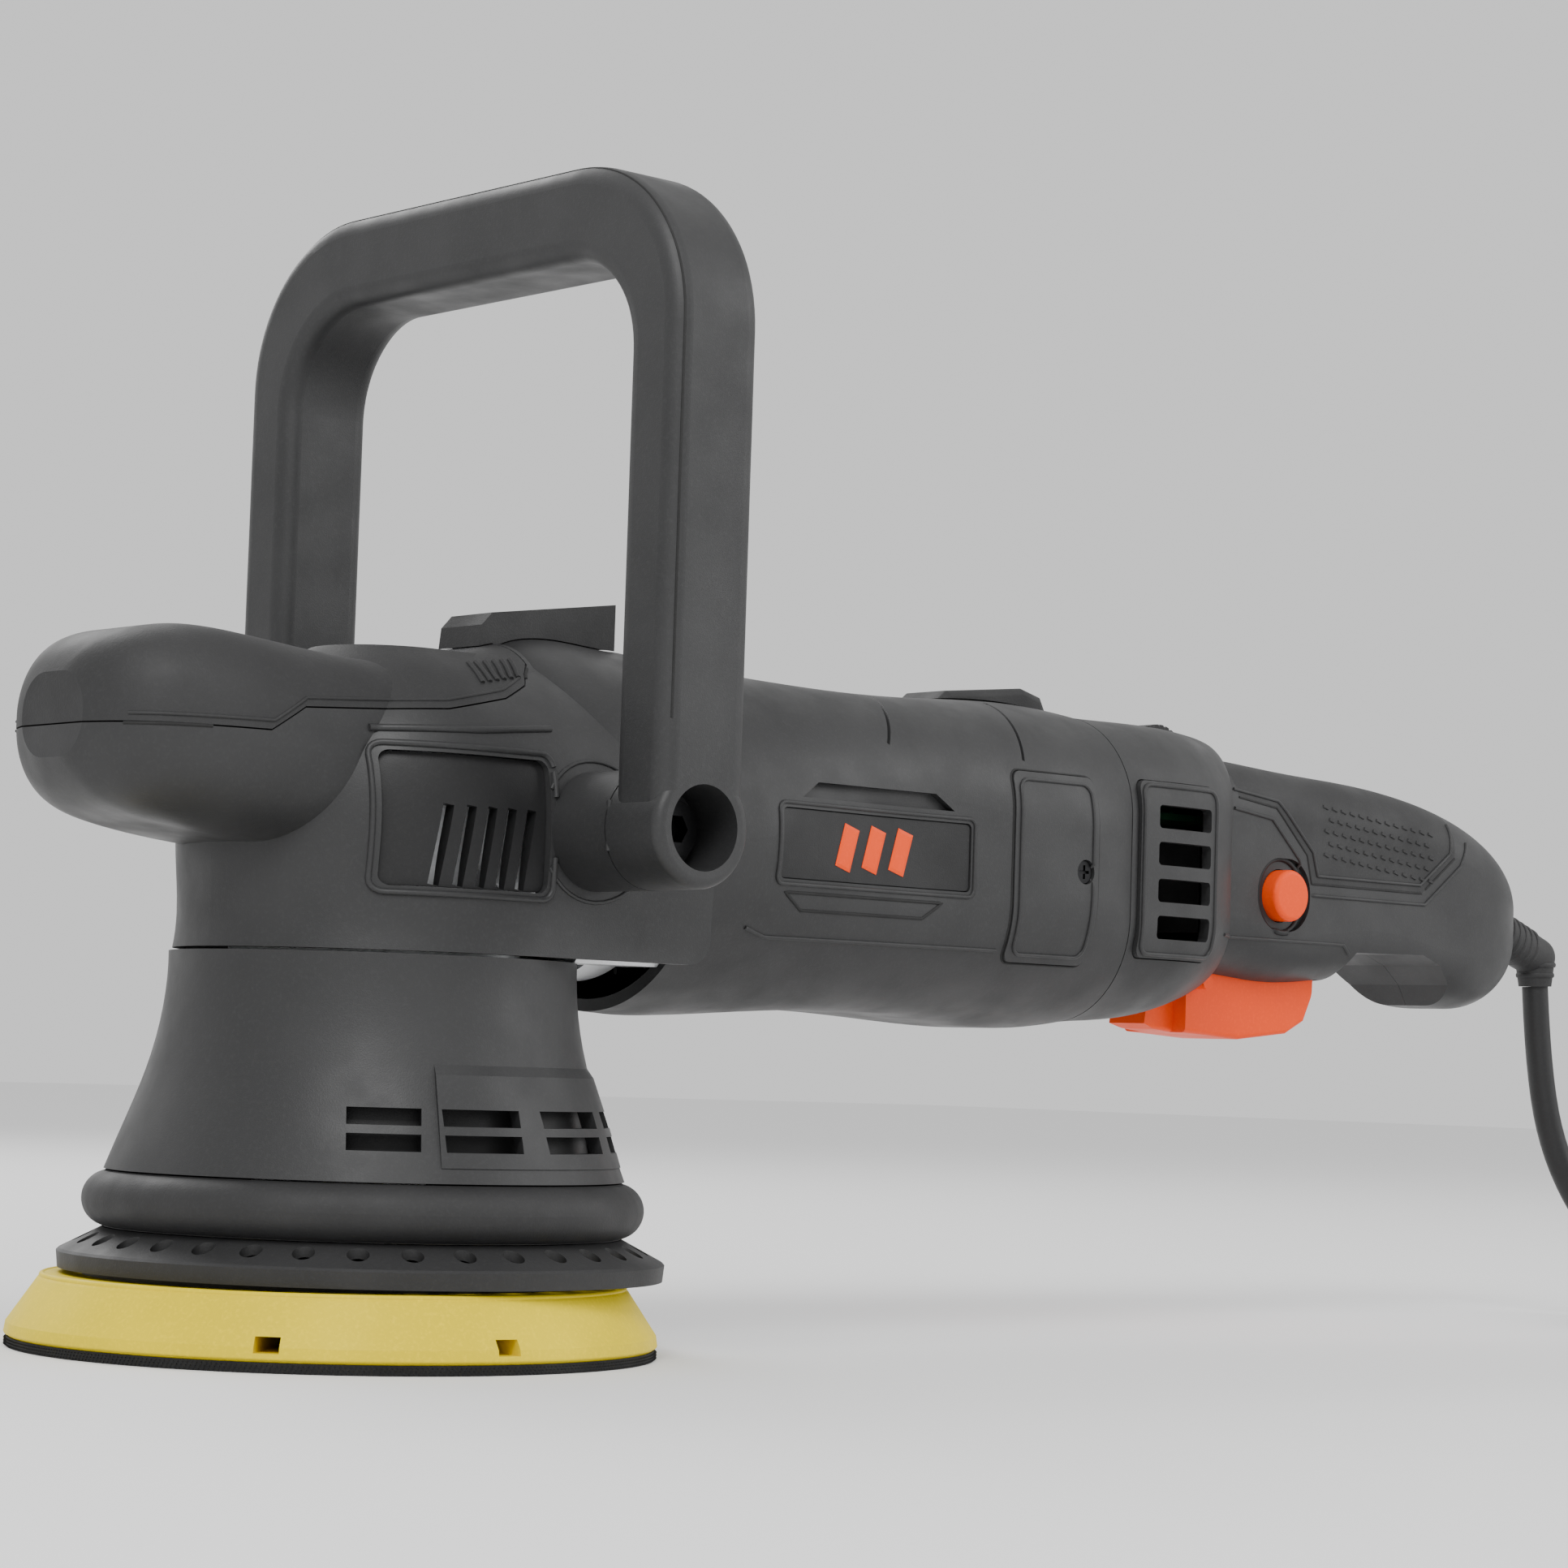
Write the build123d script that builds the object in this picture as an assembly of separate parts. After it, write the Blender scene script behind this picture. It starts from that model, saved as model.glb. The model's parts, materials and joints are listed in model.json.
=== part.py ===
from build123d import *
import math
import os

# Long-throw dual-action polisher, millimetres.
# X runs from the palm grip (-X) to the rear handle (+X), Y is across, Z is up.
# The origin is the centre of the pad's working face, which rests on z = 0.

# ---- driving dimensions -------------------------------------------------------------------
ORBIT = 15.0
SPINDLE_X = ORBIT / 2
PAD_R = 75.0
MOTOR_Z = 124.0
WALL = 3.0
GAP = 0.3
RUN_FIT = 0.03
PARTING = 0.05

# pad stack
HOOK_T = 2.3
PAD_TOP_Z = 16.6
PAD_TOP_R = 67.0
HUB_PLATE_T = 3.0
HUB_PLATE_R = 58.0

# skirt, bumper and shroud round the spindle
SKIRT_R = 70.4
SKIRT_LOW_Z = 17.8
SKIRT_LIP_Z = 22.2
BUMPER_R = 65.2
BUMPER_LOW_Z = 27.4
BUMPER_TOP_Z = 40.2
SHROUD_TOP_Z = 91.2
SHROUD_TOP_R = 47.6
SHROUD_LOW_R = 60.4
SKIRT_HOLES = 34

# head
HEAD_LOW_Z = 91.9
HEAD_REAR_X = 71.7
HEAD_HALF_W = 46.8

# bail handle and the bosses that carry it
BAIL_X = 35.5
BAIL_PIVOT_Z = 121.4
BAIL_OUT_Y = 84.4
BAIL_LEG_T = 18.2
BAIL_LEG_W = 25.6
BAIL_END_R = 13.8
BAIL_TOP_Z = 275.5
BAIL_BAR_H = 22.0
BOSS_R = 13.9

# motor housing and rear handle
HOUSING_X0 = 72.0
HOUSING_X1 = 222.0
HANDLE_END_X = 423.0

# drive
GEAR_TEETH = 40
PINION_TEETH = 10
GEAR_PITCH_R = 24.0
PINION_PITCH_R = 6.0
TOOTH_FACE = 7.0

# cord
CORD_D = 8.0
CORD_EXIT = (449.0, 0.0, 101.0)
COIL_X = 476.0
COIL_Y = -84.0
COIL_IN_R = 28.0
COIL_OUT_R = 60.0
COIL_H = 16.0

LOW = (Align.CENTER, Align.CENTER, Align.MIN)
os.makedirs("parts", exist_ok=True)
nodes = {}


def keep(name, shape):
    """Store one sub-part under its node name."""
    nodes[name] = shape


# ---- plain shapes -------------------------------------------------------------------------
def rod_z(radius, z0, z1, x=SPINDLE_X, y=0.0):
    return Pos(x, y, z0) * Cylinder(radius, z1 - z0, align=LOW)


def ring_z(r_out, r_in, z0, z1, x=SPINDLE_X):
    return rod_z(r_out, z0, z1, x) - rod_z(r_in, z0 - 1, z1 + 1, x)


def rod_x(radius, x0, x1, y=0.0, z=MOTOR_Z):
    return Pos(x0, y, z) * Rot(0, 90, 0) * Cylinder(radius, x1 - x0, align=LOW)


def ring_x(r_out, r_in, x0, x1, z=MOTOR_Z):
    return rod_x(r_out, x0, x1, z=z) - rod_x(r_in, x0 - 1, x1 + 1, z=z)


def rod_y(radius, y0, y1, x, z):
    low, high = min(y0, y1), max(y0, y1)
    return Pos(x, low, z) * Rot(-90, 0, 0) * Cylinder(radius, high - low, align=LOW)


def block(x0, x1, y0, y1, z0, z1):
    """A box given by its opposite corners."""
    size = (x1 - x0, abs(y1 - y0), z1 - z0)
    return Pos((x0 + x1) / 2, (y0 + y1) / 2, (z0 + z1) / 2) * Box(*size)


def pill_y(x0, x1, z0, z1, radius, y0, y1):
    """A box with corners rounded about Y."""
    outline = RectangleRounded(x1 - x0, z1 - z0, radius)
    low, high = min(y0, y1), max(y0, y1)
    turned = Pos((x0 + x1) / 2, high, (z0 + z1) / 2) * Rot(90, 0, 0) * outline
    return extrude(turned, high - low)


def profile_y(points, y0, y1):
    """An outline in the XZ plane, run from y0 to y1."""
    face = make_face(Polyline(*[(x, y1, z) for x, z in points], close=True))
    return extrude(face, y1 - y0, dir=(0, -1, 0))


def turned_z(points, x=SPINDLE_X):
    """A body of revolution about a vertical axis, from (radius, z) points."""
    outline = make_face(Polyline(*[(r, 0, z) for r, z in points], close=True))
    return Pos(x, 0, 0) * revolve(outline, Axis.Z)


def section_x(x, half_w, z_low, z_high, corner, inset=0.0):
    """A rounded-rectangle face across X, drawn in by inset."""
    width = 2 * (half_w - inset)
    height = z_high - z_low - 2 * inset
    radius = min(corner - inset, width / 2 - 0.2, height / 2 - 0.2)
    outline = RectangleRounded(height, width, max(radius, 1.0))
    return Pos(x, 0, (z_low + z_high) / 2) * Rot(0, 90, 0) * outline


def loft_x(rows, inset=0.0):
    return loft([section_x(*row, inset=inset) for row in rows])


def biggest(shape):
    return shape.solids().sort_by(SortBy.VOLUME)[-1]


def mirrored(shape):
    return mirror(shape, about=Plane.XZ)


# ---- pad stack, on the eccentric axis x = 0 ---------------------------------------------
def pad_stack():
    bolt_bore_r = 10.0
    hole_ring_r = 42.0
    hole_r = 4.5
    windows = [-115.9 + 120 * k + side * 20.8 for k in range(3) for side in (-1, 1)]
    hook = rod_z(PAD_R - 0.6, 0, HOOK_T, x=0) - rod_z(bolt_bore_r, -1, HOOK_T + 1, x=0)
    side = [(0, HOOK_T), (PAD_R - 1.0, HOOK_T), (PAD_R, HOOK_T + 1.2), (PAD_R - 0.3, 5.5),
            (PAD_TOP_R + 1.0, PAD_TOP_Z - 1.2), (PAD_TOP_R, PAD_TOP_Z), (0, PAD_TOP_Z)]
    pad = turned_z(side, x=0) - rod_z(bolt_bore_r, 0, PAD_TOP_Z + 1, x=0)
    # air channels in three pairs, each from a port in the face to a window in the side
    ports = []
    for angle in windows:
        turn = Rot(0, 0, angle)
        pad -= turn * block(hole_ring_r, PAD_R + 2, -2.8, 2.8, 4.2, 7.7)
        ports.append(turn * Pos(hole_ring_r, 0, -1) * Cylinder(hole_r, 8.6, align=LOW))
    pad -= ports
    hook -= ports
    keep("hook_face", hook)
    keep("backing_pad", pad)

    plate_top = PAD_TOP_Z + HUB_PLATE_T
    plate = rod_z(HUB_PLATE_R, PAD_TOP_Z, plate_top, x=0)
    plate += ring_z(26, 14.2, plate_top - 0.5, plate_top + 2.5, x=0)
    for k in range(8):
        rib = Rot(0, 0, 22.5 + 45 * k) * block(25, 54, -1.5, 1.5, plate_top - 0.5, plate_top + 1.6)
        plate += rib
    plate -= rod_z(4.3, PAD_TOP_Z - 1, plate_top + 5, x=0)
    keep("hub_plate", plate)

    arbor = rod_z(13.8, plate_top, 26, x=0) + rod_z(6, 25.5, 63, x=0)
    arbor += rod_z(8, 25.5, 37.6, x=0)
    arbor -= rod_z(4.1, plate_top - 1, 50, x=0)
    keep("pad_arbor", arbor)

    bolt = rod_z(8.0, PAD_TOP_Z - 5.5, PAD_TOP_Z, x=0) + rod_z(4.0, PAD_TOP_Z - 1, 46, x=0)
    hexagon = Pos(0, 0, PAD_TOP_Z - 6) * extrude(RegularPolygon(3.46, 6), 4)
    keep("pad_bolt", bolt - hexagon)


# ---- spindle, on the axis x = SPINDLE_X -----------------------------------------------------
def bevel(teeth, pitch_r, other_r, bore_r, back):
    """A straight bevel gear, apex at the origin, axis +Z, outer pitch radius pitch_r."""
    cone = math.atan2(pitch_r, other_r)
    length = math.hypot(pitch_r, other_r)
    module = 2 * pitch_r / teeth
    add, ded = 0.75 * module, 1.0 * module
    along = Vector(math.sin(cone), 0, math.cos(cone))
    out = Vector(math.cos(cone), 0, -math.sin(cone))
    across = Vector(0, 1, 0)

    def ring_point(dist, height):
        return along * dist + out * height

    near, far = length - TOOTH_FACE, length
    near_root = ring_point(near, -ded * near / length)
    far_root = ring_point(far, -ded)
    body = make_face(Polyline((0, 0, near_root.Z), (near_root.X, 0, near_root.Z),
                              (far_root.X, 0, far_root.Z), (far_root.X, 0, far_root.Z + back),
                              (0, 0, far_root.Z + back), close=True))
    gear = revolve(body, Axis.Z)
    faces = []
    for dist in (near, far):
        scale = dist / length
        root = (ded + 0.25) * scale
        half_root, half_tip = 0.88 * module * scale, 0.36 * module * scale
        low, high = ring_point(dist, -root), ring_point(dist, add * scale)
        corners = [low - across * half_root, low + across * half_root,
                   high + across * half_tip, high - across * half_tip]
        faces.append(make_face(Polyline(*corners, close=True)))
    tooth = loft(faces, ruled=True)
    gear += [Rot(0, 0, 360 * k / teeth) * tooth for k in range(teeth)]
    return gear - Pos(0, 0, -20) * Cylinder(bore_r, 80, align=LOW)


def spindle_group():
    apex = Pos(SPINDLE_X, 0, MOTOR_Z)
    gear = apex * Rot(180, 0, 0) * bevel(GEAR_TEETH, GEAR_PITCH_R, PINION_PITCH_R, 7.0, 6.0)
    keep("bevel_gear", gear)
    shaft = rod_z(5.0, 100, 134) + rod_z(7.0, 100, 113) + rod_z(8.5 - RUN_FIT, 82, 100.5)
    shaft += rod_z(12, 66.2, 82)
    keep("spindle", shaft)

    # eccentric housing round x = 0, with the balance weight opposite
    housing = rod_z(20, 37.8, 66, x=0) + rod_z(16, 60, 66)
    weight = (rod_z(36, 48, 62) - block(-60, 16, -60, 60, 40, 70)) + block(8, 18, -14, 14, 48, 62)
    housing += weight
    housing -= rod_z(13, 36, 46.2, x=0) + rod_z(13, 54, 62.2, x=0) + rod_z(10, 46, 55, x=0)
    housing -= rod_z(10, 62, 64.2, x=0)
    keep("counterweight", housing)
    lower = ring_z(13, 6 + RUN_FIT, 38.2, 46.2, x=0)
    upper = ring_z(13, 6 + RUN_FIT, 54.2, 62.2, x=0)
    keep("arbor_bearings", Compound(children=[lower, upper]))


# ---- gear case, bearings and the drive ----------------------------------------------------
def gear_case():
    case = rod_z(34, 76, 138) + rod_x(42.0, 46, HOUSING_X0 - 0.4) + rod_x(36.0, 10, 50)
    case &= block(-40, 80, -42, 42, 76, 162)
    case -= ring_z(70, 33.9, 70, SHROUD_TOP_Z + 0.4)
    case -= rod_z(29, 100, 132)
    case -= rod_z(17.5, 86, 101)
    case -= rod_z(13, 70, 87)
    case -= rod_x(30, 15, 58.2) & block(15, 60, -31, 31, 101, 147)
    case -= rod_x(36, 58, 75)
    case += ring_z(12, 8, 126, 138)
    case -= rod_z(8, 126, 134.2)
    for side in (-1, 1):
        boss = rod_y(9, side * 30, side * 65.5, BAIL_X, BAIL_PIVOT_Z)
        case += boss - rod_x(30, 15, 58.2)
        case -= rod_y(4.2, side * 44, side * 66, BAIL_X, BAIL_PIVOT_Z)
    keep("gear_case", case)
    keep("spindle_upper_bearing", ring_z(8, 5 + RUN_FIT, 126.4, 134.2))
    keep("spindle_lower_bearing", ring_z(17.5, 8.5, 86.2, 98.2))
    keep("bearing_plate", ring_x(36, 13, 58.2, 68))
    keep("front_bearing", ring_x(13, 6 + RUN_FIT, 58.2, 67.2))


def armature():
    shaft = rod_x(4.0, 26.8, 36) + rod_x(6.0, 36, 205.6) + rod_x(4.0, 205, 216)
    keep("armature_shaft", shaft)
    pinion = bevel(PINION_TEETH, PINION_PITCH_R, GEAR_PITCH_R, 4.0, 4.0)
    half_tooth = 180 / PINION_TEETH
    keep("bevel_pinion", Pos(SPINDLE_X, 0, MOTOR_Z) * Rot(0, 90, 0) * Rot(0, 0, half_tooth) * pinion)

    core = ring_x(22.5, 6, 112, 160)
    slots = 12
    for k in range(slots):
        turn = Pos(0, 0, MOTOR_Z) * Rot(360 * k / slots, 0, 0)
        core -= turn * block(111, 161, -1.2, 1.2, 19, 24)
        core -= turn * Pos(0, 0, 16.5) * rod_x(3.0, 111, 161, z=0)
    keep("armature_core", core)
    keep("armature_windings", Compound(children=[ring_x(19, 9, 102, 112), ring_x(19, 9, 160, 171)]))
    comm = ring_x(13, 6, 178, 201)
    bars = 24
    for k in range(bars):
        comm -= Pos(0, 0, MOTOR_Z) * Rot(360 * k / bars, 0, 0) * block(177, 199, -0.4, 0.4, 12, 14)
    keep("commutator", comm)

    hub = ring_x(11, 6, 78, 96) + ring_x(34, 6, 92, 94.5)
    blades = 18
    for k in range(blades):
        turn = Pos(0, 0, MOTOR_Z) * Rot(360 * k / blades, 0, 0)
        hub += turn * Pos(0, 0, 22.5) * Rot(0, 0, 12) * Box(13, 1.6, 22.5).moved(Pos(86.5, -18.4, 0))
    keep("fan", hub)


def motor_fixed_parts():
    stator = ring_x(34.5, 23.2, 110, 162)
    for side in (-1, 1):
        stator -= rod_x(3.4, 109, 163, y=side * 27.5, z=MOTOR_Z + 10)
        stator -= rod_x(3.4, 109, 163, y=side * 27.5, z=MOTOR_Z - 10)
    keep("stator_core", stator)
    coils = []
    for x0, x1 in ((101.5, 109.8), (162.2, 171)):
        loop = ring_x(32, 24.5, x0, x1)
        coils += (loop & block(x0, x1, -40, 40, MOTOR_Z + 7, MOTOR_Z + 40)).solids()
        coils += (loop & block(x0, x1, -40, 40, MOTOR_Z - 40, MOTOR_Z - 7)).solids()
    keep("field_coils", Compound(children=coils))
    keep("rear_bearing", ring_x(11, 4 + RUN_FIT, 206.2, 215))
    holders, brushes, springs = [], [], []
    for side in (-1, 1):
        outer = block(184, 196, side * 15.2, side * 35, MOTOR_Z - 8, MOTOR_Z + 8)
        holders.append(outer - block(186.5, 193.5, side * 14, side * 36, MOTOR_Z - 5.5, MOTOR_Z + 5.5))
        brush = block(186.6, 193.4, side * 12.5, side * 26, MOTOR_Z - 5.4, MOTOR_Z + 5.4)
        brushes.append(brush - rod_x(13.1, 186, 194))
        springs.append(rod_y(3.0, side * 26, side * 34.5, 190, MOTOR_Z)
                       - rod_y(2.0, side * 25, side * 36, 190, MOTOR_Z))
    keep("brush_holders", Compound(children=holders))
    keep("carbon_brushes", Compound(children=brushes))
    keep("brush_springs", Compound(children=springs))


# ---- shroud, bumper and skirt -------------------------------------------------------------
def shroud_profile(shift=0.0):
    """The flared side of the shroud, moved in by shift."""
    knots = [(SHROUD_TOP_R, SHROUD_TOP_Z), (48.4, 78), (51.0, 66), (55.2, 54), (SHROUD_LOW_R, 40.6)]
    return [(r - shift, z) for r, z in knots]


def shroud_parts():
    outer = Spline(*[(r, 0, z) for r, z in shroud_profile()])
    inner = Spline(*[(r, 0, z) for r, z in shroud_profile(WALL)])
    wall = make_face([outer, inner, Line(outer @ 0, inner @ 0), Line(outer @ 1, inner @ 1)])
    shroud = Pos(SPINDLE_X, 0, 0) * revolve(wall, Axis.Z)
    shroud += ring_z(SHROUD_TOP_R - 1, 34.2, 84, 89)
    # a raised panel on each side, with two rows of vent slots through and beside it
    step = [(59.4, 44.0), (56.2, 54.0), (52.4, 64.5), (50.6, 67.0), (49.0, 67.0), (50.5, 60.0), (57.2, 44.0)]
    raised = make_face(Polyline(*[(r, 0, z) for r, z in step], close=True))
    panel = revolve(raised, Axis.Z, revolution_arc=92)
    for turn in (-110, 18):
        shroud += Pos(SPINDLE_X, 0, 0) * Rot(0, 0, turn) * panel
    slots = []
    for low, high in ((-131, -114), (-109, -89), (-82, -58), (-52, -34)):
        width = 2 * 56 * math.sin(math.radians((high - low) / 2))
        for z in (55.0, 49.3):
            for mid in ((low + high) / 2, -(low + high) / 2):
                cutter = Pos(54, 0, z) * Box(24, width, 3.8)
                slots.append(Pos(SPINDLE_X, 0, 0) * Rot(0, 0, mid) * cutter)
    shroud -= slots
    keep("shroud", shroud)

    mid = (BUMPER_TOP_Z + BUMPER_LOW_Z) / 2
    round_r = (BUMPER_TOP_Z - BUMPER_LOW_Z) / 2
    roll = Pos(SPINDLE_X, 0, mid) * Torus(BUMPER_R - round_r, round_r)
    keep("bumper_ring", roll + ring_z(60.0, 56.8, BUMPER_LOW_Z, BUMPER_TOP_Z))

    rim = [(SKIRT_R - 2.6, SKIRT_LOW_Z), (SKIRT_R - 0.4, SKIRT_LOW_Z), (SKIRT_R, SKIRT_LIP_Z - 0.6),
           (SKIRT_R - 0.6, SKIRT_LIP_Z), (60.2, BUMPER_LOW_Z - 0.2), (57.0, BUMPER_LOW_Z - 0.2),
           (57.0, BUMPER_LOW_Z - 2.2), (60.0, BUMPER_LOW_Z - 2.2), (SKIRT_R - 2.6, SKIRT_LIP_Z - 1.8)]
    skirt = turned_z(rim)
    for k in range(SKIRT_HOLES):
        tool = Pos(64.4, 0, 20) * Cylinder(2.5, 12, align=LOW)
        skirt -= Pos(SPINDLE_X, 0, 0) * Rot(0, 0, 360 * k / SKIRT_HOLES) * tool
    keep("pad_brake_skirt", skirt)


# ---- head: boot, palm grip, insert, louvres ------------------------------------------------
NOSE_ROWS = [(33, 30, 113, 167, 22), (24, 33, 113, 164.6, 21), (12, 35, 113, 161.2, 20),
             (-6, 34.5, 113, 158.9, 20), (-28, 33.5, 114.5, 160.0, 20), (-46, 33.5, 116.2, 161.8, 20), (-62, 31.5, 118.4, 162.4, 20),
             (-73, 27, 121.5, 159.6, 17.5), (-79, 20.5, 126, 155.6, 14), (-82.4, 12.5, 131.5, 150.5, 9)]
HEAD_ROWS = [(HEAD_LOW_Z, 46.8, 46.6), (112, 46.8, 46.6), (132, 46.0, 45.8), (146, 40.0, 39.8),
             (156, 30.0, 29.8), (163, 18.0, 17.8)]
CROWN = [(20, 30), (28, 38.2), (34, 43.1), (42, 45.6), (50, 46.2), (80, 46.2)]


def head_solid(inset):
    """The head's outer form drawn in by inset: a tall rounded body, a nose and a crown over the gears."""
    plan = []
    for z, half_w, corner in HEAD_ROWS:
        front = SPINDLE_X - half_w
        length = 130 - front - inset
        outline = RectangleRounded(length, 2 * (half_w - inset), corner - inset)
        plan.append(Pos(front + inset + length / 2, 0, z - (inset if z > 150 else 0)) * outline)
    body = loft(plan)
    nose = loft_x(NOSE_ROWS, inset) - block(-100, NOSE_ROWS[-1][0] + inset, -60, 60, 90, 180)
    edge = Spline(*[(x, 0, MOTOR_Z + r - inset) for x, r in CROWN])
    first, last = edge @ 0, edge @ 1
    rim = Polyline(last, (last.X, 0, MOTOR_Z), (first.X, 0, MOTOR_Z), first)
    crown = revolve(make_face([edge, rim]), Axis((0, 0, MOTOR_Z), (1, 0, 0)))
    crown &= block(0, 100, -60, 60, MOTOR_Z - 20, 190)
    corner = block(HEAD_REAR_X - 7, 80, -60, 60, 80, HEAD_LOW_Z + 7) - rod_y(
        7, -70, 70, HEAD_REAR_X - 7, HEAD_LOW_Z + 7)
    whole = (body + nose + crown) & block(-100, HEAD_REAR_X + inset, -60, 60, HEAD_LOW_Z, 180)
    return whole - corner if inset == 0 else whole


def palm_zone(shift):
    """All that lies above the palm grip's lower edge, ahead of the crown."""
    back = 31.5 - shift
    edge = [(-120, 138.4 + shift), (-47, 138.8 + shift), (-38, 144.6 + shift), (-2, 147 + shift),
            (16, 151 + shift), (25, 155 + shift), (back, 161 + shift), (back, 190), (-120, 190)]
    outline = make_face(Polyline(*[(x, 0, z) for x, z in edge], close=True))
    return extrude(outline, 60, both=True)


def head_parts():
    full = head_solid(0)
    shell = full - head_solid(WALL)
    oval = Pos(14, 0, 140) * extrude(Ellipse(20, 13), 40)
    small_oval = Pos(14, 0, 140) * extrude(Ellipse(19.75, 12.75), 40)
    top = shell & palm_zone(0.35)
    palm = top - oval
    insert = top & small_oval
    cover = shell - palm_zone(0)
    lx0, lx1, lz0, lz1 = LOUVRE
    louvre_hole = pill_y(lx0, lx1, lz0, lz1, 2.5, -70, -30)
    boss = rod_y(BOSS_R, -65.9, -43.0, BAIL_X, BAIL_PIVOT_Z)
    bore = rod_y(9.3, -70, -30, BAIL_X, BAIL_PIVOT_Z)
    for tool in (louvre_hole, mirrored(louvre_hole)):
        cover -= tool
    for tool in (boss, mirrored(boss)):
        cover += tool
    for tool in (bore, mirrored(bore)):
        cover -= tool
    keep("head_cover", biggest(cover))
    keep("palm_grip", biggest(palm))
    keep("palm_insert", biggest(insert))

    panel = pill_y(lx0 + 0.2, lx1 - 0.2, lz0 + 0.2, lz1 - 0.2, 2.3, -60, -20)
    panel = (panel & head_solid(1.8)) - head_solid(4.4)
    slots = [Pos(-6.5 + 5.6 * k, -44, 116) * Rot(0, 9, 0) * Box(2.5, 30, 18.5) for k in range(5)]
    panel = biggest(panel - slots)
    panel -= rod_y(BOSS_R + 0.2, -60, -30, BAIL_X, BAIL_PIVOT_Z)
    panel = biggest(panel)
    keep("side_louvres", Compound(children=[panel, mirrored(panel)]))

    front = [(28.5, 163), (29.5, 171.4), (32.5, 174.6), (70.5, 180.2), (70.5, 163)]
    rest = profile_y(front, -8, 8) - Pos(0, 0, 0.3) * full
    keep("front_rest", biggest(rest))


# ---- bail handle ----------------------------------------------------------------------------
def bail():
    half = BAIL_OUT_Y
    depth = BAIL_LEG_W
    outer_r, inner_r = 40.0, 24.0
    out = Pos(BAIL_X, 0, (BAIL_TOP_Z + 60) / 2) * Rot(0, 90, 0) * RectangleRounded(
        BAIL_TOP_Z - 60, 2 * half, outer_r)
    hole_top = BAIL_TOP_Z - BAIL_BAR_H
    inn = Pos(BAIL_X, 0, (hole_top + 20) / 2) * Rot(0, 90, 0) * RectangleRounded(
        hole_top - 20, 2 * (half - BAIL_LEG_T), inner_r)
    arch = extrude(out, depth / 2, both=True) - extrude(inn, depth, both=True)
    arch &= block(0, 80, -100, 100, BAIL_PIVOT_Z, 300)
    arch = fillet([e for e in arch.edges() if e.center().Z > BAIL_PIVOT_Z + 3
                   and abs(abs(e.center().X - BAIL_X) - depth / 2) < 0.1], 4.6)
    for side in (-1, 1):
        inner_y = side * (half - BAIL_LEG_T)
        end = rod_y(BAIL_END_R, inner_y, side * half, BAIL_X, BAIL_PIVOT_Z)
        outer_edge = [e for e in end.edges() if abs(e.center().Y - side * half) < 0.1]
        arch += fillet(outer_edge, 2.4)
        arch -= rod_y(9.8, side * (half - 14.8), side * (half + 5), BAIL_X, BAIL_PIVOT_Z)
        arch -= rod_y(4.3, side * 60, side * half, BAIL_X, BAIL_PIVOT_Z)
    keep("bail_handle", arch)
    screws = []
    for side in (-1, 1):
        seat = side * (half - 14.8)
        head = rod_y(6.5, seat, seat + side * 5, BAIL_X, BAIL_PIVOT_Z)
        socket = Pos(BAIL_X, seat + side * 5.5, BAIL_PIVOT_Z) * Rot(90 * side, 0, 0) * extrude(
            RegularPolygon(3.46, 6), 4)
        screws.append(head - socket + rod_y(4.0, side * 50, seat + side * 0.5, BAIL_X, BAIL_PIVOT_Z))
    keep("bail_screws", Compound(children=screws))


# ---- motor housing ---------------------------------------------------------------------------
BARREL_ROWS = [(HOUSING_X0, 43.2, 80.8, 167.2, 42.8), (98, 43.2, 80.8, 167.2, 42.0),
               (124, 41.2, 82.8, 165.2, 32), (160, 41.0, 83.0, 165.0, 28),
               (HOUSING_X1, 40.8, 83.0, 165.0, 28)]
LOUVRE = (-20.0, 21.5, 106.3, 136.8)
DOOR = (176.5, 207.2, 97.0, 146.8)
LABEL = (96.6, 162.4, 114.2, 131.6)


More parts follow.
